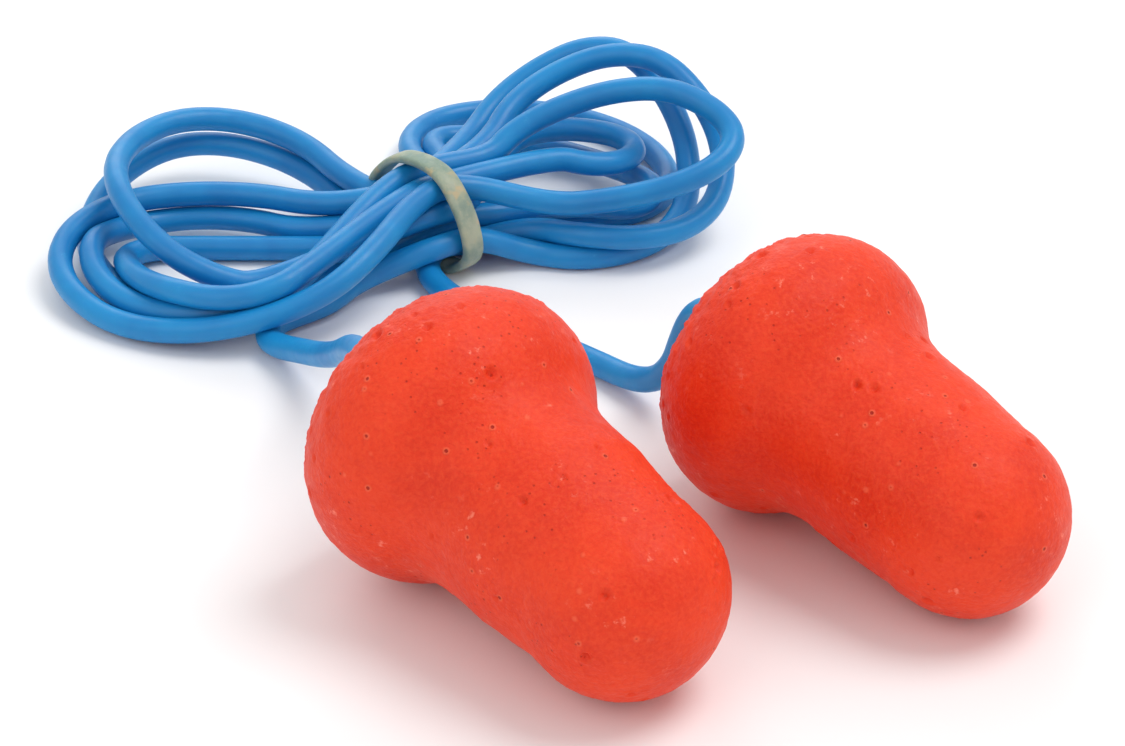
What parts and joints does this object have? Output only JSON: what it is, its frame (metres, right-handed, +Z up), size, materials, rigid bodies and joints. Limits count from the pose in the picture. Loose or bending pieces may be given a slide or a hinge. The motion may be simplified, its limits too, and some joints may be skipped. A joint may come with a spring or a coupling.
{
  "type": "corded foam ear plugs",
  "caption": "Pair of bell-shaped foam ear plugs joined by a soft cord, folded into a figure-eight hank and tied with a small elastic band.",
  "frame": {"origin": "on the resting surface, under the middle of the box around the two plugs", "axes": "+Z up; the plugs' tips point towards -Y and slightly +X; the tied cord lies on the +Y side"},
  "size_m": [0.0618, 0.0716, 0.0177],
  "materials": {
    "foam": "matte slow-recovery foam with fine open pores",
    "bond": "cured clear adhesive",
    "cord": "smooth satin soft vinyl",
    "band": "matte translucent elastic"
  },
  "bodies": {
    "cord": {"cord_left_lead": "cord", "cord_right_lead": "cord", "cord_hank": "cord", "tie_band": "band"},
    "left_plug": {"left_plug": "foam", "left_bond": "bond", "left_cord_end": "cord"},
    "right_plug": {"right_plug": "foam", "right_bond": "bond", "right_cord_end": "cord"}
  },
  "joints": [
    {"name": "left_plug_swing", "type": "hinge", "parent": "cord", "child": "left_plug", "pos_m": [-0.01533, 0.00391, 0.00949], "axis": [0, 0, 1], "range_deg": [-15, 10]},
    {"name": "right_plug_swing", "type": "hinge", "parent": "cord", "child": "right_plug", "pos_m": [0.00418, 0.01072, 0.00915], "axis": [0, 0, 1], "range_deg": [-10, 15]}
  ]
}
